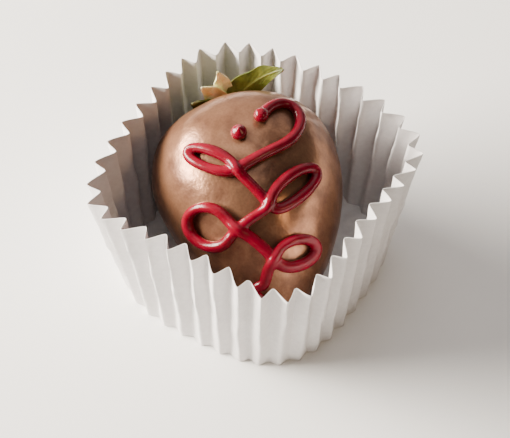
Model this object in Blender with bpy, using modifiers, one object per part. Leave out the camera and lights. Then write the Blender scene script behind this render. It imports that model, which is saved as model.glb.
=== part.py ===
"""Chocolate coated strawberry lying in its fluted paper case.

Run with: blender --background --python part.py
Metres, +Z up. The case stands on z = 0 and is centred on the Z axis.
The berry, its calyx and its piping are modelled upright round their own axis,
calyx at the top and decorated side towards +Y, and an empty lays them down.
"""
import bisect
import math

import bmesh
import bpy
from mathutils import Euler, Vector

MM = 0.001
GAP = 0.3 * MM                     # clearance between pieces that touch

# Paper case
CASE_ACROSS = 53.6 * MM            # rim, from side to side over the outer folds
BASE_ACROSS = 45.6 * MM            # flat base, over the outer folds
RIM_SQUARENESS = 4.6               # superellipse power of the rim, 2 is a circle
BASE_SQUARENESS = 3.0
SLANT = 31.3 * MM                  # length of a fold from the base to the rim
CORNER_DROP = 2.3 * MM             # how much lower the rim is pressed in the corners
RIM_RISE = 0.6 * MM                # the rim stands higher on the side of the berry's tip
PLEATS = 38
PLEAT_DEPTH = 3.0 * MM             # at the rim, from outer to inner folds
BASE_PLEAT_DEPTH = 1.0 * MM
FOLD_SHARE = 0.20                  # share of a pleat's pitch taken by the flat of one fold
WALL_ROWS = 4
PAPER = 0.3 * MM

# Coated berry
BERRY_LENGTH = 44.0 * MM
BERRY_WIDTH = 35.9 * MM
BERRY_DEPTH = 34.6 * MM
TIP_POWER = 0.70                   # higher is more pointed
SHOULDER_POWER = 0.36              # lower is a flatter shoulder
DIMPLE_RADIUS = 7.0 * MM
DIMPLE_DEPTH = 1.6 * MM
LUMP = 0.012                       # unevenness of the coat, as a share of the radius
BERRY_PLACE = (0.6 * MM, -0.4 * MM)
BERRY_HEADING = -40.0              # degrees from +X to the way the tip points
BERRY_TILT = 13.0                  # degrees by which the tip points down
BERRY_SEGMENTS = 40
BERRY_RINGS = 26
SKIN_ROWS = 60                     # rows of points that find the berry's lowest point
MERIDIAN_STEPS = 200               # steps that measure distances along the skin

# Piping. The line is drawn on the skin laid flat, in millimetres from the berry's middle
# towards the tip and from its top line towards the left. Each turn is an oval: its centre
# (along, across), its half length, half width and lean towards the calyx in degrees, and
# the degrees of the oval that the line runs through, counted from its outer end.
BEAD = 2.3 * MM
TURNS = (
    (-8.7, -6.0, 5.9, 3.6, 38, -100, 122),
    (-5.5, 8.6, 5.3, 1.7, 44, 166, -182),
    (3.6, -5.6, 6.9, 2.2, 24, 160, -176),
    (5.0, 15.3, 5.3, 3.8, 17, 148, -176),
    (14.2, -4.6, 7.6, 2.0, 2, 164, -128),
    (18.5, 14.5, 4.5, 1.6, 0, -140, 110),
)
DRAWN_STEP = 0.4                   # millimetres between points while the line is drawn
SMOOTHING = 20                     # passes that round the joints of ovals and runs
SWEPT_STEP = 1.25 * MM             # spacing of the points that the bead is swept along
BLOB_RADIUS = 1.5 * MM             # blobs where the line starts and ends
DOT_PLACE = (-0.39, 6.5)           # place along the berry and degrees round it
DOT_RADIUS = 1.5 * MM

# Calyx. Each leaf is its degrees round the berry from the top, its length, the lift of its
# tip, the degrees that its blade is turned about its own length at the tip, and its share of
# the common width.
LEAVES = (
    (-48, 13.2, 4.2, 65, 1.20),
    (-12, 7.5, 4.0, 0, 0.85),
    (10, 8.5, 4.0, 0, 0.90),
    (52, 9.0, 1.6, 0, 1.00),
    (93, 8.5, 0.6, 0, 1.00),
    (133, 8.5, 0.8, 0, 1.00),
    (172, 9.0, 1.2, 0, 1.00),
    (214, 8.5, 0.8, 0, 1.00),
    (262, 9.0, 0.6, 0, 1.00),
)
HUB_RADIUS = 3.0 * MM
LEAF_WIDTH = 5.2 * MM
LIFT_POWER = 1.3                   # 1 lifts a leaf evenly, higher bends it up at the tip
LEAF_CHANNEL = 0.35 * MM           # how far the midrib sinks below the leaf's edges
LEAF_THICKNESS = 0.6 * MM
LEAF_ROWS = 5
STALK_RADIUS = 1.1 * MM
STALK_LENGTH = 3.0 * MM


def clear_scene():
    for thing in list(bpy.data.objects):
        bpy.data.objects.remove(thing, do_unlink=True)


def new_collection(name):
    collection = bpy.data.collections.new(name)
    bpy.context.scene.collection.children.link(collection)
    return collection


def material(name, colour, roughness):
    made = bpy.data.materials.new(name)
    made.use_nodes = True
    shader = made.node_tree.nodes["Principled BSDF"]
    shader.inputs["Base Color"].default_value = (*colour, 1.0)
    shader.inputs["Roughness"].default_value = roughness
    return made


def mesh_from(bm, name):
    bmesh.ops.recalc_face_normals(bm, faces=bm.faces)
    mesh = bpy.data.meshes.new(name)
    bm.to_mesh(mesh)
    bm.free()
    return mesh


def add_object(name, data, collection, finish=None, parent=None):
    made = bpy.data.objects.new(name, data)
    collection.objects.link(made)
    if finish:
        data.materials.append(finish)
    made.parent = parent
    return made


def union_with(target, tool, use_self=False):
    """Join a hidden tool object to the target, which stays one closed solid."""
    tool.hide_render = True
    tool.display_type = "WIRE"
    join = target.modifiers.new("join", "BOOLEAN")
    join.operation = "UNION"
    join.solver = "EXACT"
    join.use_self = use_self
    join.object = tool


# ---------------------------------------------------------------- paper case

def outline_radius(angle, half, power):
    """Distance from the centre to the edge of a rounded square."""
    spread = abs(math.cos(angle)) ** power + abs(math.sin(angle)) ** power
    return half / spread ** (1 / power)


def fold_angles():
    """Directions of the two edges of every fold, evenly spaced along the rim."""
    samples = 720
    angles = [2 * math.pi * i / samples for i in range(samples + 1)]
    radii = [outline_radius(a, CASE_ACROSS / 2, RIM_SQUARENESS) for a in angles]
    walked = [0.0]
    for i in range(samples):
        step = math.hypot(radii[i + 1] - radii[i], radii[i] * (angles[i + 1] - angles[i]))
        walked.append(walked[-1] + step)
    found = []
    for fold in range(2 * PLEATS):
        for side in (-FOLD_SHARE / 2, FOLD_SHARE / 2):
            distance = (fold / 2 + side) / PLEATS % 1.0 * walked[-1]
            i = bisect.bisect_right(walked, distance) - 1
            share = (distance - walked[i]) / (walked[i + 1] - walked[i])
            found.append(angles[i] + share * (angles[i + 1] - angles[i]))
    return found


def case_point(angle, level, inner):
    """A point of the case's outer face, from level 0 at the base's edge to 1 at the rim."""
    foot = outline_radius(angle, BASE_ACROSS / 2, BASE_SQUARENESS) - inner * BASE_PLEAT_DEPTH
    rim = outline_radius(angle, CASE_ACROSS / 2, RIM_SQUARENESS) - inner * PLEAT_DEPTH
    corner = outline_radius(angle, 1.0, RIM_SQUARENESS) - 1.0
    corner /= outline_radius(math.pi / 4, 1.0, RIM_SQUARENESS) - 1.0
    height = math.sqrt(SLANT ** 2 - (rim - foot) ** 2) - CORNER_DROP * corner
    height += RIM_RISE * math.cos(angle - math.radians(BERRY_HEADING))
    radius = foot + (rim - foot) * level
    return Vector((radius * math.cos(angle), radius * math.sin(angle), height * level))


def make_case(collection, finish):
    """A disc whose edge is extruded upwards, ring by ring, into the pleated wall."""
    angles = fold_angles()
    bm = bmesh.new()
    fold_edge = bm.verts.layers.int.new("fold_edge")
    bmesh.ops.create_circle(bm, cap_ends=True, cap_tris=True, segments=len(angles), radius=1.0)
    ring = [v for v in bm.verts if v.co.length > 0.5]
    for number, vert in enumerate(ring):
        vert[fold_edge] = number
        vert.co = case_point(angles[number], 0.0, number // 2 % 2)
    edges = [e for e in bm.edges if e.is_boundary]
    for row in range(1, WALL_ROWS + 1):
        grown = bmesh.ops.extrude_edge_only(bm, edges=edges)["geom"]
        edges = [g for g in grown if isinstance(g, bmesh.types.BMEdge) and g.is_boundary]
        for vert in [g for g in grown if isinstance(g, bmesh.types.BMVert)]:
            number = vert[fold_edge]
            vert.co = case_point(angles[number], row / WALL_ROWS, number // 2 % 2)
    case = add_object("paper_case", mesh_from(bm, "paper_case"), collection, finish)
    wall = case.modifiers.new("paper", "SOLIDIFY")
    wall.thickness = PAPER
    wall.offset = -1
    wall.use_even_offset = True
    return case


# ---------------------------------------------------------------- coated berry

def profile(u):
    """Share of the greatest radius at u, from -1 at the calyx to 1 at the tip."""
    widest = (SHOULDER_POWER - TIP_POWER) / (SHOULDER_POWER + TIP_POWER)
    peak = (1 - widest) ** TIP_POWER * (1 + widest) ** SHOULDER_POWER
    return max(1 - u, 0.0) ** TIP_POWER * max(1 + u, 0.0) ** SHOULDER_POWER / peak


def berry_point(u, degrees):
    """A point of the upright berry's skin, degrees counted from +Y towards +X."""
    turn = math.radians(degrees)
    lump = 1 + LUMP * (1 - u * u) * math.sin(3 * turn + 4 * u)
    radius = profile(u) * lump / 2
    x = radius * BERRY_WIDTH * math.sin(turn)
    y = radius * BERRY_DEPTH * math.cos(turn)
    z = -u * BERRY_LENGTH / 2
    if u < 0:
        z -= DIMPLE_DEPTH * max(1 - (x * x + y * y) / DIMPLE_RADIUS ** 2, 0.0) ** 2
    return Vector((x, y, z))


def berry_normal(u, degrees):
    """Outward direction of the skin, which at the calyx end is straight up."""
    if u == -1:
        return Vector((0, 0, 1))
    step = 0.01
    along = berry_point(min(u + step, 1.0), degrees) - berry_point(max(u - step, -1.0), degrees)
    around = berry_point(u, degrees + 1) - berry_point(u, degrees - 1)
    return around.cross(along).normalized()


def over_berry(u, degrees, lift):
    """A point at a height above the berry's skin."""
    return berry_point(u, degrees) + lift * berry_normal(u, degrees)


def make_berry_axis(collection):
    """The empty that lays the berry down, its skin just above the paper."""
    laid = Euler((math.radians(90 - BERRY_TILT), 0, math.radians(BERRY_HEADING - 90)))
    axis = add_object("berry_axis", None, collection)
    axis.rotation_euler = laid
    turned = laid.to_matrix()
    lowest = 0.0
    for i in range(SKIN_ROWS):
        u = -math.cos(math.pi * i / SKIN_ROWS)
        for degrees in range(0, 360, 6):
            lowest = min(lowest, (turned @ berry_point(u, degrees)).z)
    axis.location = (*BERRY_PLACE, PAPER + GAP - lowest)
    return axis


def make_berry(collection, finish, axis):
    """A sphere whose rings are drawn into the berry's profile."""
    bm = bmesh.new()
    bmesh.ops.create_uvsphere(bm, u_segments=BERRY_SEGMENTS, v_segments=BERRY_RINGS, radius=1.0)
    for vert in bm.verts:
        degrees = math.degrees(math.atan2(vert.co.x, vert.co.y))
        vert.co = berry_point(max(-1.0, min(1.0, -vert.co.z)), degrees)
    return add_object("coated_berry", mesh_from(bm, "coated_berry"), collection, finish, axis)


# ---------------------------------------------------------------- piping

def oval(along, across, reach, half_width, lean, start, stop):
    """Points of one turn, on the skin laid flat."""
    side = math.copysign(1, across)
    leant = math.radians(lean)
    steps = max(int(abs(stop - start) / 360 * math.pi * (reach + half_width) / DRAWN_STEP), 4)
    for i in range(steps + 1):
        angle = math.radians(start + (stop - start) * i / steps)
        out = reach * math.cos(angle)
        off = half_width * math.sin(angle)
        x = side * (out * math.cos(leant) + off * math.sin(leant))
        y = off * math.cos(leant) - out * math.sin(leant)
        yield Vector((along + y, across + x))


def drawn_line():
    """The ovals joined by straight runs and smoothed, on the skin laid flat."""
    line = []
    for turn in TURNS:
        points = list(oval(*turn))
        if line:
            run = points[0] - line[-1]
            steps = int(run.length / DRAWN_STEP)
            line += [line[-1] + run * i / steps for i in range(1, steps)]
        line += points
    for _ in range(SMOOTHING):
        between = [(a + 2 * b + c) / 4 for a, b, c in zip(line, line[1:], line[2:])]
        line = [line[0]] + between + [line[-1]]
    return line


def on_berry(flat):
    """Place along and degrees round the berry of a point of the skin laid flat."""
    along, across = flat
    return along * MM / (BERRY_LENGTH / 2), math.degrees(across * MM / (BERRY_WIDTH / 2))


def piping_path():
    """Evenly spaced points of the bead's middle."""
    fine = [over_berry(*on_berry(flat), GAP + BEAD / 2) for flat in drawn_line()]
    walked = [0.0]
    for before, after in zip(fine, fine[1:]):
        walked.append(walked[-1] + (after - before).length)
    count = round(walked[-1] / SWEPT_STEP)
    path = []
    for number in range(count):
        distance = walked[-1] * number / count
        i = bisect.bisect_right(walked, distance) - 1
        share = (distance - walked[i]) / (walked[i + 1] - walked[i])
        path.append(fine[i].lerp(fine[i + 1], share))
    return path + [fine[-1]]


def ball(bm, centre, radius):
    made = bmesh.ops.create_icosphere(bm, subdivisions=2, radius=radius)
    bmesh.ops.translate(bm, verts=made["verts"], vec=centre)


def make_piped_line(collection, tools, finish, axis):
    """A bead swept along the looping path, joined to itself where it crosses."""
    curve = bpy.data.curves.new("piping_path", "CURVE")
    curve.dimensions = "3D"
    curve.bevel_depth = BEAD / 2
    curve.bevel_resolution = 2
    curve.use_fill_caps = True
    path = piping_path()
    spline = curve.splines.new("POLY")
    spline.points.add(len(path) - 1)
    for point, place in zip(spline.points, path):
        point.co = (*place, 1.0)
    swept = add_object("piping_path", curve, tools)
    bpy.context.view_layer.update()
    evaluated = swept.evaluated_get(bpy.context.evaluated_depsgraph_get())
    mesh = bpy.data.meshes.new_from_object(evaluated)
    mesh.name = "piped_line"
    bpy.data.objects.remove(swept, do_unlink=True)
    bm = bmesh.new()
    bm.from_mesh(mesh)
    bmesh.ops.remove_doubles(bm, verts=bm.verts, dist=0.00001)
    bm.to_mesh(mesh)
    bm.free()
    line = add_object("piped_line", mesh, collection, finish, axis)
    bm = bmesh.new()
    for flat in (drawn_line()[0], drawn_line()[-1]):
        ball(bm, over_berry(*on_berry(flat), GAP + BLOB_RADIUS), BLOB_RADIUS)
    blobs = add_object("piping_blobs", mesh_from(bm, "piping_blobs"), tools, None, axis)
    union_with(line, blobs, use_self=True)
    return line


def make_piped_dot(collection, finish, axis):
    bm = bmesh.new()
    ball(bm, over_berry(*DOT_PLACE, GAP + DOT_RADIUS), DOT_RADIUS)
    return add_object("piped_dot", mesh_from(bm, "piped_dot"), collection, finish, axis)


# ---------------------------------------------------------------- calyx

def meridian():
    """Distances over the skin from the calyx end, with the place u of each."""
    places = [-math.cos(math.pi / 2 * i / MERIDIAN_STEPS) for i in range(MERIDIAN_STEPS + 1)]
    points = [berry_point(u, 0) for u in places]
    walked = [0.0]
    for before, after in zip(points, points[1:]):
        walked.append(walked[-1] + (after - before).length)
    return walked, places


def place_at(distance, walked, places):
    i = bisect.bisect_right(walked, distance) - 1
    share = (distance - walked[i]) / (walked[i + 1] - walked[i])
    return places[i] + share * (places[i + 1] - places[i])


def make_calyx(collection, tools, finish, axis):
    """A ring of pointed leaves grown from a small hub, with a stub of stalk."""
    walked, places = meridian()
    bm = bmesh.new()
    rest = GAP + LEAF_THICKNESS / 2

    def spot(distance, degrees, lift=0.0, sideways=0.0, turn=0.0):
        u = place_at(distance, walked, places)
        aside = (berry_point(u, degrees + 1) - berry_point(u, degrees - 1)).normalized()
        blade = math.cos(turn) * aside + math.sin(turn) * berry_normal(u, degrees)
        return over_berry(u, degrees, rest + lift) + sideways * blade

    turns = [leaf[0] for leaf in LEAVES]
    valleys = [(a + b) / 2 for a, b in zip([turns[-1] - 360] + turns, turns)]
    valleys.append(valleys[0] + 360)
    centre = bm.verts.new(spot(0.0, 0.0))
    ring = [bm.verts.new(spot(HUB_RADIUS, v)) for v in valleys[:-1]]
    for number, (degrees, length, lift, turn, width) in enumerate(LEAVES):
        row = [ring[number], bm.verts.new(spot(HUB_RADIUS, degrees)), ring[(number + 1) % len(ring)]]
        bm.faces.new((centre, row[0], row[1]))
        bm.faces.new((centre, row[1], row[2]))
        for j in range(1, LEAF_ROWS + 1):
            share = j / (LEAF_ROWS + 1)
            distance = HUB_RADIUS + (length * MM - HUB_RADIUS) * share
            half = LEAF_WIDTH / 2 * width * math.sin(math.pi * (0.25 + 0.75 * share)) ** 0.8
            raised = lift * MM * share ** LIFT_POWER
            turned = math.radians(turn) * share
            grown = [
                bm.verts.new(spot(distance, degrees, raised + LEAF_CHANNEL, -half, turned)),
                bm.verts.new(spot(distance, degrees, raised)),
                bm.verts.new(spot(distance, degrees, raised + LEAF_CHANNEL, half, turned)),
            ]
            bm.faces.new((row[0], grown[0], grown[1], row[1]))
            bm.faces.new((row[1], grown[1], grown[2], row[2]))
            row = grown
        tip = bm.verts.new(spot(length * MM, degrees, lift * MM))
        bm.faces.new((row[0], tip, row[1]))
        bm.faces.new((row[1], tip, row[2]))
    calyx = add_object("calyx", mesh_from(bm, "calyx"), collection, finish, axis)
    leaf = calyx.modifiers.new("leaf", "SOLIDIFY")
    leaf.thickness = LEAF_THICKNESS
    leaf.offset = 0
    bm = bmesh.new()
    bmesh.ops.create_cone(bm, cap_ends=True, segments=12, radius1=STALK_RADIUS,
                          radius2=STALK_RADIUS, depth=STALK_LENGTH)
    base = berry_point(-1.0, 0.0).z + rest
    bmesh.ops.translate(bm, verts=bm.verts, vec=(0, 0, base + STALK_LENGTH / 2))
    stalk = add_object("stalk", mesh_from(bm, "stalk"), tools, None, axis)
    union_with(calyx, stalk, use_self=True)
    return calyx


def main():
    clear_scene()
    parts = new_collection("chocolate_coated_strawberry")
    tools = new_collection("joining_tools")
    axis = make_berry_axis(parts)
    make_case(parts, material("white_paper", (0.86, 0.82, 0.80), 0.85))
    make_berry(parts, material("lustred_chocolate", (0.36, 0.22, 0.14), 0.38), axis)
    red = material("red_icing", (0.48, 0.01, 0.03), 0.30)
    make_piped_line(parts, tools, red, axis)
    make_piped_dot(parts, red, axis)
    make_calyx(parts, tools, material("green_leaf", (0.17, 0.20, 0.03), 0.60), axis)


main()
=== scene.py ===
"""Looks of the chocolate coated strawberry that lies in its fluted paper case.

Metres, +Z up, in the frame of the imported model. The berry, its piping and its calyx
are worked out upright round their own axis, calyx at the top and decorated side
towards +Y, and LAID puts them down in the case.
"""

import bisect
import math

import bmesh
import bpy
from mathutils import Euler, Matrix, Vector, noise


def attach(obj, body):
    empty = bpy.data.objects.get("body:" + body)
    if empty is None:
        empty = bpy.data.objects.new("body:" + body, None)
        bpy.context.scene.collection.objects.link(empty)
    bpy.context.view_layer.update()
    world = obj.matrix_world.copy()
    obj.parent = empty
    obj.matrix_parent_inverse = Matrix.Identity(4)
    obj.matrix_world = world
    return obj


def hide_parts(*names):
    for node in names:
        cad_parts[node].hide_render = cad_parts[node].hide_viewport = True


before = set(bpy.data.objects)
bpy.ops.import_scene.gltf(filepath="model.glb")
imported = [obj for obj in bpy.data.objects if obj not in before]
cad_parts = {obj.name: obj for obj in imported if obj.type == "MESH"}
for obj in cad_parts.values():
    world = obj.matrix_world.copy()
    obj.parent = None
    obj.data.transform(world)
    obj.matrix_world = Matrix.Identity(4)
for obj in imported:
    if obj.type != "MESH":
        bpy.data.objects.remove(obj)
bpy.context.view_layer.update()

MM = 0.001
SMOOTH_ANGLE = 50                  # degrees, a sharper bend than this keeps its edge

# Paper case
CASE_ACROSS = 53.6 * MM            # rim, from side to side over the outer folds
BASE_ACROSS = 45.6 * MM            # base, over the outer folds
RIM_SQUARENESS = 4.6               # superellipse power of the rim, 2 is a circle
BASE_SQUARENESS = 3.0
SLANT = 31.3 * MM                  # length of a fold from the base to the rim
CORNER_DROP = 2.3 * MM             # how much lower the rim is pressed in the corners
RIM_RISE = 0.6 * MM                # the rim stands higher on the side of the berry's tip
RIM_SAMPLES = 720                  # points that measure the rim's length
PLEATS = 38
PLEAT_DEPTH = 3.0 * MM             # at the rim, from outer to inner folds
BASE_PLEAT_DEPTH = 1.0 * MM
FOLD_SHARPNESS = 0.93              # 1 is a zigzag of flat panels, towards 0 a plain wave
BASE_DOME = 0.42 * MM              # how far the base rises in the middle, under the berry
BASE_CREASE = 0.30 * MM            # height of the inner folds just inside the base's edge
BASE_RINGS = (0.06, 0.10, 0.24, 0.4)   # widths of the base's rings, of a radius of 1
COLUMNS = 14                       # columns of paper across one pleat
WALL_ROWS = 16
PAPER = 0.12 * MM

# Unevenness of the case, each strength times a random wave
PLEAT_STRAY = 0.10                 # of a pleat, sideways
PLEAT_SHALLOWING = 0.14            # of a pleat's depth
RIM_DENT = 0.5 * MM                # inwards only
WALL_BOW = 0.35 * MM               # between the base and the rim

# Coated berry
BERRY_LENGTH = 44.0 * MM
BERRY_WIDTH = 35.9 * MM
BERRY_DEPTH = 34.6 * MM
TIP_POWER = 0.70                   # higher is more pointed
SHOULDER_POWER = 0.36              # lower is a flatter shoulder
DIMPLE_RADIUS = 7.0 * MM
DIMPLE_DEPTH = 1.6 * MM
LUMP = 0.012                       # unevenness of the coat, as a share of the radius
BERRY_PLACE = (0.6 * MM, -0.4 * MM)
BERRY_REST = 0.6 * MM              # height of its lowest point over the case's foot
BERRY_HEADING = -40.0              # degrees from +X to the way the tip points
BERRY_TILT = 13.0                  # degrees by which the tip points down
SKIN_ROWS = 60                     # rows of points that find the berry's lowest point
SKIN_TURN = 6                      # degrees between the points of a row
MERIDIAN_STEPS = 200               # steps that measure distances along the skin
BALL_SEGMENTS = 180
BALL_RINGS = 120
COAT_EDGE = 6.4 * MM               # bare fruit under the leaves, out to here
FRUIT_MARGIN = 0.75 * MM           # the fruit's colour stops this far short of that edge
COAT_LIP = 0.7 * MM                # thickness of the coat at its edge
LIP_SLOPE = 0.9 * MM               # width over which it reaches that thickness
LIP_SWELL = 0.22 * MM              # height of the swelling that runs along the edge
LIP_CREST = 0.7 * MM               # distance of the swelling's crest from the edge
LIP_SPREAD = 0.9 * MM              # reach of the swelling to each side of its crest
COAT_WAVE = 0.22 * MM              # strength of the coat's slow unevenness
COAT_WAVE_LENGTH = 9 * MM
COAT_RIPPLE = 0.06 * MM            # strength of its finer unevenness
COAT_RIPPLE_LENGTH = 3 * MM
COAT_RISE_LIMIT = 0.3 * MM         # the coat stands no higher than this over the plain skin

# Piping. The line is drawn on the skin laid flat, in millimetres from the berry's middle
# towards the tip and from its top line towards the left. Each turn is an oval: its centre
# (along, across), its half length, half width and lean towards the calyx in degrees, and
# the degrees of the oval that the line runs through, counted from its outer end.
BEAD = 2.3 * MM
TURNS = (
    (-8.7, -6.0, 5.9, 3.6, 38, -100, 122),
    (-5.5, 8.6, 5.3, 1.7, 44, 166, -182),
    (3.6, -5.6, 6.9, 2.2, 24, 160, -176),
    (5.0, 15.3, 5.3, 3.8, 17, 148, -176),
    (14.2, -4.6, 7.6, 2.0, 2, 164, -128),
    (18.5, 14.5, 4.5, 1.6, 0, -140, 110),
)
DRAWN_STEP = 0.4                   # millimetres between points while the line is drawn
SMOOTHING = 20                     # passes that round the joints of ovals and runs
SWEPT_STEP = 0.6 * MM              # spacing of the points that the bead is swept along
BEAD_SITS = 0.95 * MM              # height of the bead's middle over the coat
BEAD_SHARE = 0.97                  # thickness of the bead, as a share of BEAD
BEAD_SWELL = 0.16                  # strength of its thickening and thinning
BEAD_END = 0.10                    # how much thicker its two ends are
CROSSING_RISE = 0.95 * MM          # how far one strand climbs over another
CROSSING_REACH = 1.7 * MM          # strands nearer than this are crossing
STRAND_APART = 6.5 * MM            # points this far back along the line are another strand
LIFT_SMOOTHING = 3                 # passes that ease the line up and down
MELT_SIZE = 0.2 * MM               # grid on which touching strands run together
BLOB_RADIUS = 1.45 * MM            # blobs where the line starts and ends
BLOB_SITS = 0.75                   # height of a blob's middle over the coat, of its radius
DOT_PLACE = (-0.39, 6.5)           # place along the berry and degrees round it
DOT_RADIUS = 1.55 * MM
DOT_SITS = 0.62                    # height of the dot's middle over the coat, of its radius
DOT_SLUMP = 0.82                   # height of the dot, as a share of a ball's
DOT_PEAK = 0.30                    # height of the nozzle's peak, as a share of the radius
DOT_PEAK_SPREAD = 0.5 * MM
DOT_LEAN = 0.12 * MM               # how far the dot's top is drawn aside

# Calyx: degrees round the berry from the top, length and lift of the tip of each leaf, how
# many degrees its blade is turned about its length, its width, how dry it is and its swing
LEAVES = (
    (-48, 13.2, 4.2, 65, 1.12, 0.06, 0),
    (-12, 8.8, 4.4, 0, 0.85, 0.98, 15),
    (10, 8.5, 2.6, 0, 0.90, 0.98, 16),
    (52, 8.2, 0.8, 0, 1.00, 0.20, -5),
    (93, 8.5, 0.6, 0, 1.00, 0.20, 4),
    (133, 8.5, 0.8, 0, 1.00, 0.10, -4),
    (172, 9.0, 1.2, 0, 1.00, 0.30, 5),
    (214, 8.5, 0.8, 0, 1.00, 0.15, -4),
    (262, 9.0, 0.6, 0, 1.00, 0.10, 4),
)
LEAF_ROOT = 0.9 * MM               # distance from the calyx end at which a leaf starts
LEAF_WIDTH = 5.2 * MM
LEAF_WAVE = 0.16                   # strength of the unevenness of its width
LEAF_RIPPLE = 0.45 * MM            # strength of the ripples of its edges
LEAF_DIP = 0.2 * MM                # the deepest dip of a ripple
LEAF_CHANNEL = 0.42 * MM           # how far the midrib sinks below the leaf's edges
LIFT_POWER = 1.3                   # 1 lifts a leaf evenly, higher bends it up at the tip
LEAF_THICKNESS = 0.35 * MM
LEAF_SITS = 0.45 * MM              # height of the leaves and the stub over the skin
RIBS = 9                           # side veins on each side of the midrib
RIB_SLANT = 0.30                   # how far a side vein runs towards the tip, of the length
RIB_STRENGTH = 0.45                # where the midrib is 1
MIDRIB_SPREAD = 0.12               # of half the blade
STALK_RADIUS = 1.1 * MM
STALK_LENGTH = 3.0 * MM
STALK_ROWS = 10
STALK_FLARE = 0.9                  # how much wider the foot is, as a share
STALK_RIBS = 6
STALK_BEND = 0.35 * MM             # how far the stub's top is bent aside

# Stage. Each light has its place in metres to the camera's right, away from the camera and
# up, then its two widths, its power and its colour
FLOOR_RADIUS = 1.6
FLOOR_SIDES = 96
FLOOR_DROP = 0.05 * MM             # the floor lies this far under the case
CAMERA_AIM = (0, 0, 13.0 * MM)
CAMERA_AZIMUTH = -57.8             # degrees from +X to the side that the camera is on
CAMERA_ELEVATION = 52.4            # degrees above the horizontal
CAMERA_DISTANCE = 0.828
CAMERA_LENS = 305.0
SENSOR_WIDTH = 36.0
LIGHTS = (
    ("key_light", (-0.74, 0.14, 0.34), (0.75, 0.25), 50.0, (1.0, 0.915, 0.79)),
    ("back_light", (0.12, 0.62, 0.46), (1.2, 0.8), 2.2, (1.0, 0.93, 0.90)),
    ("top_light", (-0.05, 0.12, 0.90), (0.9, 0.9), 2.4, (1.0, 0.97, 0.95)),
    ("warm_bounce", (0.44, -0.33, 0.38), (0.13, 0.13), 0.70, (1.0, 0.72, 0.42)),
)
SKY_COLOUR = (0.93, 0.96, 1, 1)
SKY_STRENGTH = 0.06


# ---------------------------------------------------------------- tools

def deselect_all():
    """Leave edit mode and select nothing."""
    if bpy.context.object and bpy.context.object.mode != "OBJECT":
        bpy.ops.object.mode_set(mode="OBJECT")
    bpy.ops.object.select_all(action="DESELECT")


def take_up(piece):
    """Make one piece the only selected and active object."""
    deselect_all()
    piece.select_set(True)
    bpy.context.view_layer.objects.active = piece


def added(name):
    """Name the primitive that was just added."""
    piece = bpy.context.object
    piece.name = name
    piece.data.name = name
    return piece


def apply_modifier(piece, kind, **settings):
    """Give a piece a modifier with these settings, and apply it."""
    take_up(piece)
    bpy.ops.object.modifier_add(type=kind)
    modifier = piece.modifiers[-1]
    for setting, value in settings.items():
        setattr(modifier, setting, value)
    bpy.ops.object.modifier_apply(modifier=modifier.name)


def face_outwards(piece):
    """Turn all faces of a piece outwards."""
    take_up(piece)
    bpy.ops.object.mode_set(mode="EDIT")
    bpy.ops.mesh.select_all(action="SELECT")
    bpy.ops.mesh.normals_make_consistent(inside=False)
    bpy.ops.object.mode_set(mode="OBJECT")


def finish_piece(piece, finish, slot, *nodes):
    """Smooth, paint and hand over a finished piece."""
    take_up(piece)
    bpy.ops.object.shade_smooth_by_angle(angle=math.radians(SMOOTH_ANGLE))
    if finish:
        piece.data.materials.clear()
        piece.data.materials.append(finish)
    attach(piece, "root")
    if nodes:
        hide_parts(*nodes)
    return piece


def smooth_share(value, low, high):
    """0 below low, 1 above high, and a smooth step between them."""
    share = max(0.0, min(1.0, (value - low) / (high - low)))
    return share * share * (3 - 2 * share)


# ---------------------------------------------------------------- shape of the berry

def profile(u):
    """Share of the greatest radius at u, from -1 at the calyx to 1 at the tip."""
    widest = (SHOULDER_POWER - TIP_POWER) / (SHOULDER_POWER + TIP_POWER)
    peak = (1 - widest) ** TIP_POWER * (1 + widest) ** SHOULDER_POWER
    return max(1 - u, 0.0) ** TIP_POWER * max(1 + u, 0.0) ** SHOULDER_POWER / peak


def berry_point(u, degrees):
    """A point of the upright berry's skin, degrees counted from +Y towards +X."""
    turn = math.radians(degrees)
    lump = 1 + LUMP * (1 - u * u) * math.sin(3 * turn + 4 * u)
    radius = profile(u) * lump / 2
    x = radius * BERRY_WIDTH * math.sin(turn)
    y = radius * BERRY_DEPTH * math.cos(turn)
    z = -u * BERRY_LENGTH / 2
    if u < 0:
        z -= DIMPLE_DEPTH * max(1 - (x * x + y * y) / DIMPLE_RADIUS ** 2, 0.0) ** 2
    return Vector((x, y, z))


def berry_normal(u, degrees):
    """The way that the skin faces at a point of the upright berry."""
    if u <= -1:
        return Vector((0, 0, 1))
    step = 0.01
    along = berry_point(min(u + step, 1.0), degrees) - berry_point(max(u - step, -1.0), degrees)
    around = berry_point(u, degrees + 1) - berry_point(u, degrees - 1)
    return around.cross(along).normalized()


def over_berry(u, degrees, lift):
    """A point at a height over the skin of the upright berry."""
    return berry_point(u, degrees) + lift * berry_normal(u, degrees)


def walk(points):
    """Distances along a row of points."""
    walked = [0.0]
    for before, after in zip(points, points[1:]):
        walked.append(walked[-1] + (after - before).length)
    return walked


# Places u from the calyx end to the berry's middle, and the distances to them
MERIDIAN = [-math.cos(math.pi / 2 * i / MERIDIAN_STEPS) for i in range(MERIDIAN_STEPS + 1)]
MERIDIAN_WALK = walk([berry_point(u, 0) for u in MERIDIAN])


def place_at(distance):
    """Place u at a distance over the skin from the calyx end."""
    i = min(bisect.bisect_right(MERIDIAN_WALK, distance), len(MERIDIAN) - 1) - 1
    share = (distance - MERIDIAN_WALK[i]) / (MERIDIAN_WALK[i + 1] - MERIDIAN_WALK[i])
    return MERIDIAN[i] + share * (MERIDIAN[i + 1] - MERIDIAN[i])


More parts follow.
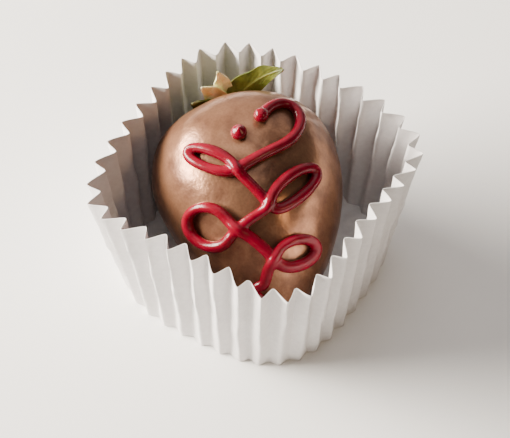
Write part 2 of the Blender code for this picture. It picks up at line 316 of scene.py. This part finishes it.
def laid_down():
    """The turn and shift that lay the upright berry in its case, as the CAD does."""
    turn = Euler((math.radians(90 - BERRY_TILT), 0, math.radians(BERRY_HEADING - 90)))
    turned = turn.to_matrix()
    lowest = 0.0
    for i in range(SKIN_ROWS):
        u = -math.cos(math.pi * i / SKIN_ROWS)
        for degrees in range(0, 360, SKIN_TURN):
            lowest = min(lowest, (turned @ berry_point(u, degrees)).z)
    place = Vector((*BERRY_PLACE, BERRY_REST - lowest))
    return Matrix.Translation(place) @ turned.to_4x4()


LAID = laid_down()


# ---------------------------------------------------------------- shader groups

def new_group(name, inputs, outputs):
    """An empty shader group with named inputs and outputs."""
    group = bpy.data.node_groups.new(name, "ShaderNodeTree")
    for label, kind, value in inputs:
        socket = group.interface.new_socket(label, in_out="INPUT", socket_type=kind)
        if value is not None:
            socket.default_value = value
    for label, kind in outputs:
        group.interface.new_socket(label, in_out="OUTPUT", socket_type=kind)
    return group, group.nodes.new("NodeGroupInput"), group.nodes.new("NodeGroupOutput")


def mottle_group():
    """Two tones mixed in soft patches, with the mask that mixed them."""
    group, given, result = new_group(
        "soft_mottle",
        (("Vector", "NodeSocketVector", None), ("Scale", "NodeSocketFloat", 200.0),
         ("Contrast", "NodeSocketFloat", 0.2), ("Dark", "NodeSocketColor", (0.1, 0.1, 0.1, 1)),
         ("Light", "NodeSocketColor", (0.8, 0.8, 0.8, 1))),
        (("Colour", "NodeSocketColor"), ("Mask", "NodeSocketFloat")))
    nodes, links = group.nodes, group.links
    patches = nodes.new("ShaderNodeTexNoise")
    patches.inputs["Detail"].default_value = 3.0
    low = nodes.new("ShaderNodeMath")
    low.operation = "SUBTRACT"
    low.inputs[0].default_value = 0.5
    high = nodes.new("ShaderNodeMath")
    high.inputs[0].default_value = 0.5
    spread = nodes.new("ShaderNodeMapRange")
    spread.interpolation_type = "SMOOTHSTEP"
    blend = nodes.new("ShaderNodeMix")
    blend.data_type = "RGBA"
    links.new(given.outputs["Vector"], patches.inputs["Vector"])
    links.new(given.outputs["Scale"], patches.inputs["Scale"])
    links.new(given.outputs["Contrast"], low.inputs[1])
    links.new(given.outputs["Contrast"], high.inputs[1])
    links.new(patches.outputs["Fac"], spread.inputs["Value"])
    links.new(low.outputs[0], spread.inputs["From Min"])
    links.new(high.outputs[0], spread.inputs["From Max"])
    links.new(spread.outputs["Result"], blend.inputs["Factor"])
    links.new(given.outputs["Dark"], blend.inputs[6])
    links.new(given.outputs["Light"], blend.inputs[7])
    links.new(blend.outputs[2], result.inputs["Colour"])
    links.new(spread.outputs["Result"], result.inputs["Mask"])
    return group


def relief_group():
    """A height made of fine grain over slow waves."""
    group, given, result = new_group(
        "fine_relief",
        (("Vector", "NodeSocketVector", None), ("Grain Scale", "NodeSocketFloat", 3000.0),
         ("Wave Scale", "NodeSocketFloat", 400.0), ("Wave Share", "NodeSocketFloat", 0.5)),
        (("Height", "NodeSocketFloat"),))
    nodes, links = group.nodes, group.links
    grain = nodes.new("ShaderNodeTexNoise")
    grain.inputs["Detail"].default_value = 3.0
    waves = nodes.new("ShaderNodeTexNoise")
    waves.inputs["Detail"].default_value = 2.0
    blend = nodes.new("ShaderNodeMix")
    links.new(given.outputs["Vector"], grain.inputs["Vector"])
    links.new(given.outputs["Grain Scale"], grain.inputs["Scale"])
    links.new(given.outputs["Vector"], waves.inputs["Vector"])
    links.new(given.outputs["Wave Scale"], waves.inputs["Scale"])
    links.new(given.outputs["Wave Share"], blend.inputs["Factor"])
    links.new(grain.outputs["Fac"], blend.inputs["A"])
    links.new(waves.outputs["Fac"], blend.inputs["B"])
    links.new(blend.outputs["Result"], result.inputs["Height"])
    return group


MOTTLE = mottle_group()
RELIEF = relief_group()


class Finish:
    """A material with its shader at hand."""

    def __init__(self, name, **values):
        self.material = bpy.data.materials.new(name)
        self.material.use_nodes = True
        self.nodes = self.material.node_tree.nodes
        self.links = self.material.node_tree.links
        self.shader = self.nodes["Principled BSDF"]
        for socket, value in values.items():
            self.shader.inputs[socket.replace("_", " ")].default_value = value
        self.place = self.nodes.new("ShaderNodeTexCoord").outputs["Object"]

    def node(self, kind, **values):
        """Add a shader node with these values."""
        made = self.nodes.new("ShaderNode" + kind)
        for socket, value in values.items():
            made.inputs[socket.replace("_", " ")].default_value = value
        return made

    def grouped(self, group, **values):
        """Add a shared shader group, fed with the place and these values."""
        made = self.nodes.new("ShaderNodeGroup")
        made.node_tree = group
        for socket, value in values.items():
            made.inputs[socket.replace("_", " ")].default_value = value
        self.links.new(self.place, made.inputs["Vector"])
        return made

    def ramp(self, source, *stops):
        """Turn a number into a colour, by stops of position and colour."""
        made = self.nodes.new("ShaderNodeValToRGB")
        bar = made.color_ramp.elements
        while len(bar) < len(stops):
            bar.new(0.5)
        for element, (position, colour) in zip(bar, stops):
            element.position = position
            element.color = (*colour, 1.0)
        self.links.new(source, made.inputs["Fac"])
        return made.outputs["Color"]

    def mixed(self, factor, one, other, mode="MIX"):
        """Mix two colours, where each input is a socket or a fixed value."""
        made = self.nodes.new("ShaderNodeMix")
        made.data_type = "RGBA"
        made.blend_type = mode
        for source, socket in ((factor, 0), (one, 6), (other, 7)):
            if isinstance(source, bpy.types.NodeSocket):
                self.links.new(source, made.inputs[socket])
            elif socket == 0:
                made.inputs[0].default_value = source
            else:
                made.inputs[socket].default_value = (*source, 1.0)
        return made.outputs[2]

    def ranged(self, source, from_min, from_max, to_min, to_max):
        """Stretch a number from one range to another."""
        made = self.node("MapRange", From_Min=from_min, From_Max=from_max,
                         To_Min=to_min, To_Max=to_max)
        self.links.new(source, made.inputs["Value"])
        return made.outputs["Result"]

    def attribute(self, name):
        """Read a number that the mesh holds at its points."""
        made = self.nodes.new("ShaderNodeAttribute")
        made.attribute_name = name
        return made.outputs["Fac"]

    def bump(self, height, strength, distance, under=None):
        """Tilt the surface by a height, over another bump if one is given."""
        made = self.node("Bump", Strength=strength, Distance=distance)
        self.links.new(height, made.inputs["Height"])
        if under:
            self.links.new(under, made.inputs["Normal"])
        return made.outputs["Normal"]

    def feed(self, **sources):
        """Link sources to the inputs of the shader."""
        for socket, source in sources.items():
            self.links.new(source, self.shader.inputs[socket.replace("_", " ")])


# ---------------------------------------------------------------- finishes

def lustred_chocolate():
    """Chocolate brushed with pearly bronze dust."""
    finish = Finish("lustred_chocolate", IOR=1.45)
    dust = finish.grouped(MOTTLE, Scale=230.0, Contrast=0.20,
                          Dark=(0.165, 0.074, 0.042, 1), Light=(0.390, 0.196, 0.112, 1))
    specks = finish.grouped(MOTTLE, Scale=2400.0, Contrast=0.12,
                            Dark=(0.78, 0.76, 0.74, 1), Light=(1.0, 1.0, 1.0, 1))
    colour = finish.mixed(0.5, dust.outputs["Colour"], specks.outputs["Colour"], "MULTIPLY")
    rough = finish.ranged(dust.outputs["Mask"], 0.0, 1.0, 0.30, 0.285)
    metal = finish.ranged(dust.outputs["Mask"], 0.0, 1.0, 0.50, 0.80)
    fine = finish.grouped(RELIEF, Grain_Scale=1500.0, Wave_Scale=330.0, Wave_Share=0.75)
    pits = finish.node("TexVoronoi", Scale=230.0, Randomness=0.75)
    finish.links.new(finish.place, pits.inputs["Vector"])
    dents = finish.ranged(pits.outputs["Distance"], 0.0, 0.35, 0.0, 1.0)
    normal = finish.bump(dents, 0.10, 0.0002)
    normal = finish.bump(fine.outputs["Height"], 0.35, 0.0004, normal)
    finish.feed(Base_Color=colour, Roughness=rough, Metallic=metal, Normal=normal)
    return finish.material


def bare_fruit():
    """Strawberry skin that shows where the coat ends."""
    finish = Finish("bare_fruit", Roughness=0.35, Subsurface_Weight=0.2, Subsurface_Scale=0.001)
    skin = finish.grouped(MOTTLE, Scale=400.0, Contrast=0.2,
                          Dark=(0.42, 0.03, 0.02, 1), Light=(0.75, 0.22, 0.12, 1))
    finish.feed(Base_Color=skin.outputs["Colour"])
    return finish.material


def red_icing():
    """Piped sugar icing, set with a wet gloss."""
    finish = Finish("red_icing", Roughness=0.25, Subsurface_Weight=0.10,
                    Subsurface_Scale=0.0006, IOR=1.45, Specular_IOR_Level=0.35)
    tone = finish.grouped(MOTTLE, Scale=420.0, Contrast=0.25,
                          Dark=(0.135, 0.0004, 0.008, 1), Light=(0.200, 0.0008, 0.015, 1))
    fine = finish.grouped(RELIEF, Grain_Scale=2600.0, Wave_Scale=500.0, Wave_Share=0.7)
    normal = finish.bump(fine.outputs["Height"], 0.25, 0.0003)
    finish.feed(Base_Color=tone.outputs["Colour"], Normal=normal)
    return finish.material


def white_paper():
    """Thin matt greaseproof paper with a fine fibre."""
    finish = Finish("white_paper", Roughness=0.72, IOR=1.4)
    fibre = finish.grouped(MOTTLE, Scale=900.0, Contrast=0.3,
                           Dark=(0.70, 0.678, 0.685, 1), Light=(0.77, 0.752, 0.755, 1))
    fine = finish.grouped(RELIEF, Grain_Scale=4200.0, Wave_Scale=700.0, Wave_Share=0.5)
    normal = finish.bump(fine.outputs["Height"], 0.2, 0.0002)
    finish.feed(Base_Color=fibre.outputs["Colour"], Normal=normal)
    return finish.material


def green_leaf():
    """Fresh leaf with paler veins, drying to cream and brown towards some tips."""
    finish = Finish("green_leaf", Roughness=0.5, Subsurface_Weight=0.12,
                    Subsurface_Scale=0.0008, IOR=1.45)
    tone = finish.grouped(MOTTLE, Scale=500.0, Contrast=0.22,
                          Dark=(0.048, 0.064, 0.004, 1), Light=(0.125, 0.140, 0.012, 1))
    vein = finish.attribute("vein")
    green = finish.mixed(finish.ranged(vein, 0.0, 1.0, 0.0, 0.45),
                         tone.outputs["Colour"], (0.34, 0.34, 0.08))
    dry = finish.ramp(finish.attribute("dry"), (0.0, (0.0, 0.0, 0.0)), (0.35, (0.0, 0.0, 0.0)),
                      (0.75, (1.0, 1.0, 1.0)))
    straw = finish.grouped(MOTTLE, Scale=700.0, Contrast=0.2,
                           Dark=(0.76, 0.70, 0.32, 1), Light=(0.95, 0.94, 0.60, 1))
    colour = finish.mixed(dry, green, straw.outputs["Colour"])
    fine = finish.grouped(RELIEF, Grain_Scale=3200.0, Wave_Scale=900.0, Wave_Share=0.4)
    normal = finish.bump(fine.outputs["Height"], 0.4, 0.0003)
    normal = finish.bump(vein, 0.5, 0.00025, normal)
    finish.feed(Base_Color=colour, Normal=normal)
    return finish.material


def pale_floor():
    """Plain pale ground."""
    finish = Finish("pale_floor", Roughness=0.9, Base_Color=(0.90, 0.90, 0.90, 1.0))
    return finish.material


# ---------------------------------------------------------------- paper case

def outline_radius(angle, half, power):
    """Distance from the centre to the edge of a rounded square."""
    spread = abs(math.cos(angle)) ** power + abs(math.sin(angle)) ** power
    return half / spread ** (1 / power)


def rim_angles(count):
    """Directions of evenly spaced columns of paper, as measured along the rim."""
    angles = [2 * math.pi * i / RIM_SAMPLES for i in range(RIM_SAMPLES + 1)]
    radii = [outline_radius(a, CASE_ACROSS / 2, RIM_SQUARENESS) for a in angles]
    rim = [Vector((r * math.cos(a), r * math.sin(a))) for r, a in zip(radii, angles)]
    walked = walk(rim)
    found = []
    for column in range(count):
        distance = walked[-1] * column / count
        i = bisect.bisect_right(walked, distance) - 1
        share = (distance - walked[i]) / (walked[i + 1] - walked[i])
        found.append(angles[i] + share * (angles[i + 1] - angles[i]))
    return found


def unevenness(angle, level, seed):
    """A slow random wave round the case, between about -0.5 and 0.5."""
    spot = Vector((math.cos(angle), math.sin(angle), level)) * 6.0 + Vector((seed, 0, 0))
    return noise.noise(spot)


def pleat_fold(turns):
    """How far a column is folded in, 0 on an outer fold and 1 on an inner one."""
    wave = math.asin(FOLD_SHARPNESS * math.cos(2 * math.pi * turns))
    return 0.5 - 0.5 * wave / math.asin(FOLD_SHARPNESS)


def case_point(angle, turns, level):
    """A point of the case's outer face, from level 0 at the base's edge to 1 at the rim."""
    number = round(turns) % PLEATS
    own = noise.noise(Vector((number * 0.83, 4.1, 2.7)))
    shifted = turns + PLEAT_STRAY * unevenness(angle, level * 0.6, 3.0)
    inner = pleat_fold(shifted) * (1.0 - PLEAT_SHALLOWING * abs(own))
    foot = outline_radius(angle, BASE_ACROSS / 2, BASE_SQUARENESS) - inner * BASE_PLEAT_DEPTH
    rim = outline_radius(angle, CASE_ACROSS / 2, RIM_SQUARENESS) - inner * PLEAT_DEPTH
    rim += RIM_DENT * min(unevenness(angle, 0.0, 9.0), 0.0)
    corner = outline_radius(angle, 1.0, RIM_SQUARENESS) - 1.0
    corner /= outline_radius(math.pi / 4, 1.0, RIM_SQUARENESS) - 1.0
    height = math.sqrt(SLANT ** 2 - (rim - foot) ** 2) - CORNER_DROP * corner
    height += RIM_RISE * math.cos(angle - math.radians(BERRY_HEADING))
    radius = foot + (rim - foot) * level
    radius += WALL_BOW * math.sin(math.pi * level) * unevenness(angle, level * 1.5, 5.0)
    return Vector((radius * math.cos(angle), radius * math.sin(angle), height * level))


def make_case(finish):
    """A cylinder cut into rows, its top open, folded into pleats."""
    columns = PLEATS * COLUMNS
    angles = rim_angles(columns)
    deselect_all()
    bpy.ops.mesh.primitive_cylinder_add(vertices=columns, radius=1.0, depth=1.0,
                                        location=(0, 0, 0.5), end_fill_type="NGON")
    case = added("fluted_case")
    bpy.ops.object.transform_apply(location=True)
    bpy.ops.object.mode_set(mode="EDIT")
    bpy.ops.mesh.select_mode(type="FACE")
    bpy.ops.mesh.select_all(action="DESELECT")
    paper = bmesh.from_edit_mesh(case.data)
    for face in paper.faces:
        face.select = face.normal.z > 0.5
    bmesh.update_edit_mesh(case.data)
    bpy.ops.mesh.delete(type="FACE")
    for row in range(1, WALL_ROWS):
        bpy.ops.mesh.select_all(action="SELECT")
        bpy.ops.mesh.bisect(plane_co=(0, 0, row / WALL_ROWS), plane_no=(0, 0, 1))
    bpy.ops.mesh.select_all(action="DESELECT")
    paper = bmesh.from_edit_mesh(case.data)
    for face in paper.faces:
        face.select = face.normal.z < -0.5
    bmesh.update_edit_mesh(case.data)
    for width in BASE_RINGS:
        bpy.ops.mesh.inset(thickness=width, depth=0)
    bpy.ops.mesh.poke()
    bpy.ops.object.mode_set(mode="OBJECT")
    for vert in case.data.vertices:
        around = math.atan2(vert.co.y, vert.co.x) % (2 * math.pi)
        column = round(around / (2 * math.pi) * columns) % columns
        reach = math.hypot(vert.co.x, vert.co.y)
        turns = column / COLUMNS
        if reach > 0.999:
            vert.co = case_point(angles[column], turns, vert.co.z)
        else:
            edge = case_point(angles[column], turns, 0.0)
            crease = BASE_CREASE * pleat_fold(turns) * smooth_share(reach, 0.80, 0.94)
            crease *= 1 - smooth_share(reach, 0.94, 1.0)
            dome = BASE_DOME * (1 - smooth_share(reach, 0.25, 0.85))
            vert.co = Vector((edge.x * reach, edge.y * reach, crease + dome))
    face_outwards(case)
    apply_modifier(case, "SOLIDIFY", thickness=PAPER, offset=-1.0, use_even_offset=False)
    return finish_piece(case, finish, "white_paper", "paper_case")


# ---------------------------------------------------------------- coated berry

def coat_edge(degrees):
    """Distance from the calyx end at which the coat ends."""
    turn = math.radians(degrees)
    return COAT_EDGE + 0.5 * MM * math.sin(3 * turn + 1.0) + 0.35 * MM * math.sin(7 * turn)


def walked_to(u):
    """Distance over the skin from the calyx end to the place u of the upper half."""
    i = min(bisect.bisect_right(MERIDIAN, u), len(MERIDIAN) - 1) - 1
    share = (u - MERIDIAN[i]) / (MERIDIAN[i + 1] - MERIDIAN[i])
    return MERIDIAN_WALK[i] + share * (MERIDIAN_WALK[i + 1] - MERIDIAN_WALK[i])


def make_berry(coat, fruit):
    """A ball drawn into the berry, with the coat's lip under the leaves."""
    deselect_all()
    bpy.ops.mesh.primitive_uv_sphere_add(segments=BALL_SEGMENTS, ring_count=BALL_RINGS,
                                         radius=1.0)
    berry = added("dipped_berry")
    for vert in berry.data.vertices:
        degrees = math.degrees(math.atan2(vert.co.x, vert.co.y))
        u = max(-1.0, min(1.0, -vert.co.z))
        skin = berry_point(u, degrees)
        lift = COAT_WAVE * noise.noise(skin / COAT_WAVE_LENGTH)
        lift += COAT_RIPPLE * noise.noise(skin / COAT_RIPPLE_LENGTH)
        if u < 0:
            distance = walked_to(u)
            edge = coat_edge(degrees)
            lift -= COAT_LIP * (1 - smooth_share(distance, edge - LIP_SLOPE, edge))
            swell = (distance - edge - LIP_CREST) / LIP_SPREAD
            lift += LIP_SWELL * math.exp(-swell * swell)
        vert.co = LAID @ (skin + min(lift, COAT_RISE_LIMIT) * berry_normal(u, degrees))
    berry.data.materials.append(coat)
    berry.data.materials.append(fruit)
    upright = LAID.inverted()
    for face in berry.data.polygons:
        centre = upright @ face.center
        across = math.hypot(centre.x, centre.y)
        edge = coat_edge(math.degrees(math.atan2(centre.x, centre.y)))
        if centre.z > 0 and across < edge - FRUIT_MARGIN:
            face.material_index = 1
    return finish_piece(berry, None, "lustred_chocolate", "coated_berry")


# ---------------------------------------------------------------- piping

def oval(along, across, reach, half_width, lean, start, stop):
    """Points of one turn, on the skin laid flat."""
    side = math.copysign(1, across)
    leant = math.radians(lean)
    steps = max(int(abs(stop - start) / 360 * math.pi * (reach + half_width) / DRAWN_STEP), 4)
    for i in range(steps + 1):
        angle = math.radians(start + (stop - start) * i / steps)
        out = reach * math.cos(angle)
        off = half_width * math.sin(angle)
        x = side * (out * math.cos(leant) + off * math.sin(leant))
        y = off * math.cos(leant) - out * math.sin(leant)
        yield Vector((along + y, across + x))


def drawn_line():
    """The ovals joined by straight runs and smoothed, on the skin laid flat."""
    line = []
    for turn in TURNS:
        points = list(oval(*turn))
        if line:
            run = points[0] - line[-1]
            steps = int(run.length / DRAWN_STEP)
            line += [line[-1] + run * i / steps for i in range(1, steps)]
        line += points
    for _ in range(SMOOTHING):
        between = [(a + 2 * b + c) / 4 for a, b, c in zip(line, line[1:], line[2:])]
        line = [line[0]] + between + [line[-1]]
    return line


def on_berry(flat):
    """Place along and degrees round the berry of a point of the skin laid flat."""
    along, across = flat
    return along * MM / (BERRY_LENGTH / 2), math.degrees(across * MM / (BERRY_WIDTH / 2))


def swept_places():
    """Evenly spaced places of the line, as (u, degrees) on the berry."""
    drawn = [on_berry(flat) for flat in drawn_line()]
    walked = walk([over_berry(*place, BEAD_SITS) for place in drawn])
    count = round(walked[-1] / SWEPT_STEP)
    places = []
    for number in range(count + 1):
        distance = walked[-1] * number / count
        i = min(bisect.bisect_right(walked, distance), len(walked) - 1) - 1
        share = (distance - walked[i]) / (walked[i + 1] - walked[i])
        before, after = Vector(drawn[i]), Vector(drawn[i + 1])
        places.append(before.lerp(after, share))
    return places


def crossing_lifts(points):
    """How much higher each point of the line lies where it crosses an earlier strand."""
    apart = round(STRAND_APART / SWEPT_STEP)
    lifts = []
    for i, point in enumerate(points):
        lift = 0.0
        for earlier in points[:max(i - apart, 0)]:
            near = (point - earlier).length
            if near < CROSSING_REACH:
                over = smooth_share(CROSSING_REACH - near, 0.0, CROSSING_REACH * 0.8)
                lift = max(lift, CROSSING_RISE * over)
        lifts.append(lift)
    for _ in range(LIFT_SMOOTHING):
        between = [(a + b + c) / 3 for a, b, c in zip(lifts, lifts[1:], lifts[2:])]
        lifts = [lifts[0]] + between + [lifts[-1]]
    return lifts


def make_piped_line(finish):
    """A bead swept along the loops, then run together where it touches itself."""
    places = swept_places()
    lifts = crossing_lifts([over_berry(*place, BEAD_SITS) for place in places])
    deselect_all()
    bpy.ops.curve.primitive_nurbs_path_add()
    line = added("piped_line_red")
    line.data.splines.clear()
    line.data.dimensions = "3D"
    line.data.bevel_depth = BEAD / 2
    line.data.bevel_resolution = 4
    line.data.use_fill_caps = True
    spline = line.data.splines.new("POLY")
    spline.points.add(len(places) - 1)
    for number, (point, place, lift) in enumerate(zip(spline.points, places, lifts)):
        point.co = (*(LAID @ over_berry(*place, BEAD_SITS + lift)), 1.0)
        swell = noise.noise(Vector((number * 0.11, 0.3, 0.7)))
        ends = min(number, len(places) - 1 - number)
        point.radius = BEAD_SHARE + BEAD_SWELL * swell + BEAD_END * math.exp(-ends / 3)
    take_up(line)
    bpy.ops.object.convert(target="MESH")
    for place in (places[0], places[-1]):
        centre = LAID @ over_berry(*place, BLOB_RADIUS * BLOB_SITS)
        bpy.ops.mesh.primitive_uv_sphere_add(segments=24, ring_count=16,
                                             radius=BLOB_RADIUS, location=centre)
        bpy.ops.object.transform_apply(location=True)
        line.select_set(True)
        bpy.context.view_layer.objects.active = line
        bpy.ops.object.join()
    apply_modifier(line, "REMESH", mode="VOXEL", voxel_size=MELT_SIZE)
    apply_modifier(line, "SMOOTH", factor=0.5, iterations=8)
    return finish_piece(line, finish, "red_icing", "piped_line")


def make_piped_dot(finish):
    """A ball of icing slumped on the coat, with the small peak left by the nozzle."""
    deselect_all()
    bpy.ops.mesh.primitive_uv_sphere_add(segments=32, ring_count=24, radius=DOT_RADIUS)
    dot = added("piped_dot_red")
    upwards = berry_normal(*DOT_PLACE)
    turn = upwards.to_track_quat("Z", "Y").to_matrix().to_4x4()
    foot = Matrix.Translation(over_berry(*DOT_PLACE, DOT_SITS * DOT_RADIUS))
    for vert in dot.data.vertices:
        rise = vert.co.z / DOT_RADIUS
        aside = math.hypot(vert.co.x, vert.co.y) / DOT_PEAK_SPREAD
        peak = DOT_PEAK * DOT_RADIUS * math.exp(-aside ** 2)
        vert.co.z = vert.co.z * DOT_SLUMP + (peak if rise > 0 else 0.0)
        vert.co.x += DOT_LEAN * rise
        vert.co = LAID @ foot @ turn @ vert.co
    return finish_piece(dot, finish, "red_icing", "piped_dot")


# ---------------------------------------------------------------- calyx

def leaf_spot(distance, degrees, lift, sideways, turn):
    """A point sideways from a leaf's midrib, on a blade turned about its length."""
    u = place_at(distance)
    aside = (berry_point(u, degrees + 1) - berry_point(u, degrees - 1)).normalized()
    blade = math.cos(turn) * aside + math.sin(turn) * berry_normal(u, degrees)
    return over_berry(u, degrees, LEAF_SITS + lift) + sideways * blade


def mark(piece, name, values):
    """Give every point of a piece a number that its finish reads."""
    layer = piece.data.attributes.new(name, "FLOAT", "POINT")
    layer.data.foreach_set("value", values)


def make_leaf(number, leaf, finish):
    """A flat grid drawn into a pointed leaf with a channelled midrib and a curling tip."""
    degrees, length, lift, turn, width, dryness, swing = leaf
    length *= MM
    deselect_all()
    bpy.ops.mesh.primitive_grid_add(x_subdivisions=14, y_subdivisions=36, size=2.0)
    piece = added(f"leaf_{number:02d}")
    veins, dries = [], []
    for vert in piece.data.vertices:
        side, share = vert.co.x, (vert.co.y + 1) / 2
        distance = LEAF_ROOT + (length - LEAF_ROOT) * share
        spread = math.sin(math.pi * min(0.22 + 0.78 * share, 1.0)) ** 0.85
        wave = noise.noise(Vector((share * 5.0, number * 1.7, side * 0.5)))
        half = LEAF_WIDTH / 2 * width * spread * (1 + LEAF_WAVE * wave)
        swung = degrees + swing * share ** 1.5
        ripple = noise.noise(Vector((share * 6, side * 1.2, number * 3.1)))
        ripple = max(LEAF_RIPPLE * side ** 2 * ripple, -LEAF_DIP)
        channel = LEAF_CHANNEL * abs(side) ** 1.3 * math.sin(math.pi * min(share + 0.15, 1.0))
        raised = lift * MM * share ** LIFT_POWER + channel + ripple
        turned = math.radians(turn) * share
        vert.co = LAID @ leaf_spot(distance, swung, max(raised, 0), side * half, turned)
        ribs = abs(math.sin(RIBS * math.pi * (share - RIB_SLANT * abs(side)))) ** 6
        middle = math.exp(-(side / MIDRIB_SPREAD) ** 2)
        veins.append(max(middle, RIB_STRENGTH * ribs * (1 - abs(side))))
        edge = max(abs(side) ** 3 * 0.25, smooth_share(share, 0.55, 1.0))
        dries.append(dryness * 0.55 + edge * (0.25 + 0.5 * dryness))
    mark(piece, "vein", veins)
    mark(piece, "dry", dries)
    face_outwards(piece)
    apply_modifier(piece, "SOLIDIFY", thickness=LEAF_THICKNESS, offset=0.0)
    return finish_piece(piece, finish, "green_leaf", *(("calyx",) if number == 1 else ()))


def make_stalk(finish):
    """The stub of stalk over a small swollen hub."""
    deselect_all()
    base = berry_point(-1.0, 0.0).z + LEAF_SITS
    bpy.ops.mesh.primitive_cylinder_add(vertices=40, radius=STALK_RADIUS, depth=STALK_LENGTH,
                                        location=(0, 0, base + STALK_LENGTH / 2),
                                        end_fill_type="NGON")
    stalk = added("stalk_stub")
    bpy.ops.object.transform_apply(location=True)
    bpy.ops.object.mode_set(mode="EDIT")
    for row in range(1, STALK_ROWS):
        bpy.ops.mesh.select_all(action="SELECT")
        height = base + STALK_LENGTH * (row / STALK_ROWS) ** 1.6
        bpy.ops.mesh.bisect(plane_co=(0, 0, height), plane_no=(0, 0, 1))
    bpy.ops.mesh.select_all(action="DESELECT")
    body = bmesh.from_edit_mesh(stalk.data)
    for face in body.faces:
        face.select = face.normal.z > 0.5
    bmesh.update_edit_mesh(stalk.data)
    bpy.ops.mesh.inset(thickness=0.12 * MM, depth=0)
    bpy.ops.mesh.inset(thickness=0.35 * MM, depth=-0.10 * MM)
    bpy.ops.mesh.poke()
    bpy.ops.object.mode_set(mode="OBJECT")
    veins, dries = [], []
    for vert in stalk.data.vertices:
        rise = (vert.co.z - base) / STALK_LENGTH
        around = math.atan2(vert.co.y, vert.co.x)
        ribbed = math.sin(STALK_RIBS * around)
        flare = 1 + STALK_FLARE * (1 - smooth_share(rise, 0.0, 0.35)) + 0.05 * ribbed
        bend = STALK_BEND * rise * rise
        vert.co.x = vert.co.x * flare + bend
        vert.co.y = vert.co.y * flare
        vert.co = LAID @ vert.co
        veins.append(0.35 + 0.25 * ribbed)
        dries.append(0.30 + 0.45 * smooth_share(rise, 0.86, 1.0))
    mark(stalk, "vein", veins)
    mark(stalk, "dry", dries)
    return finish_piece(stalk, finish, "green_leaf")


# ---------------------------------------------------------------- stage

def soft_light(name, place, target, spread, power, colour):
    """An oval light at a place, turned to the target."""
    deselect_all()
    bpy.ops.object.light_add(type="AREA", location=place)
    light = bpy.context.object
    light.name = name
    light.data.shape = "ELLIPSE"
    light.data.size, light.data.size_y = spread
    light.data.energy = power
    light.data.color = colour
    light.rotation_euler = (target - Vector(place)).to_track_quat("-Z", "Y").to_euler()


def make_stage():
    """The floor, the camera, the lights and the sky."""
    deselect_all()
    bpy.ops.mesh.primitive_circle_add(vertices=FLOOR_SIDES, radius=FLOOR_RADIUS,
                                      fill_type="NGON", location=(0, 0, -FLOOR_DROP))
    floor = added("floor")
    floor.data.materials.append(pale_floor())

    target = Vector(CAMERA_AIM)
    azimuth, elevation = math.radians(CAMERA_AZIMUTH), math.radians(CAMERA_ELEVATION)
    away = Vector((math.cos(elevation) * math.cos(azimuth),
                   math.cos(elevation) * math.sin(azimuth), math.sin(elevation)))
    bpy.ops.object.camera_add(location=target + CAMERA_DISTANCE * away)
    camera = bpy.context.object
    camera.rotation_euler = (-away).to_track_quat("-Z", "Y").to_euler()
    camera.data.lens = CAMERA_LENS
    camera.data.sensor_width = SENSOR_WIDTH
    bpy.context.scene.camera = camera

    right = Vector((-math.sin(azimuth), math.cos(azimuth), 0))
    back = Vector((-math.cos(azimuth), -math.sin(azimuth), 0))
    up = Vector((0, 0, 1))
    for name, (aside, behind, above), spread, power, colour in LIGHTS:
        place = aside * right + behind * back + above * up
        soft_light(name, place, target, spread, power, colour)

    world = bpy.data.worlds.new("studio")
    world.use_nodes = True
    sky = world.node_tree.nodes["Background"]
    sky.inputs["Color"].default_value = SKY_COLOUR
    sky.inputs["Strength"].default_value = SKY_STRENGTH
    bpy.context.scene.world = world


def main():
    """Build the stage and every piece."""
    make_stage()
    make_case(white_paper())
    make_berry(lustred_chocolate(), bare_fruit())
    red = red_icing()
    make_piped_line(red)
    make_piped_dot(red)
    leaf = green_leaf()
    for number, shape in enumerate(LEAVES, 1):
        make_leaf(number, shape, leaf)
    make_stalk(leaf)


main()
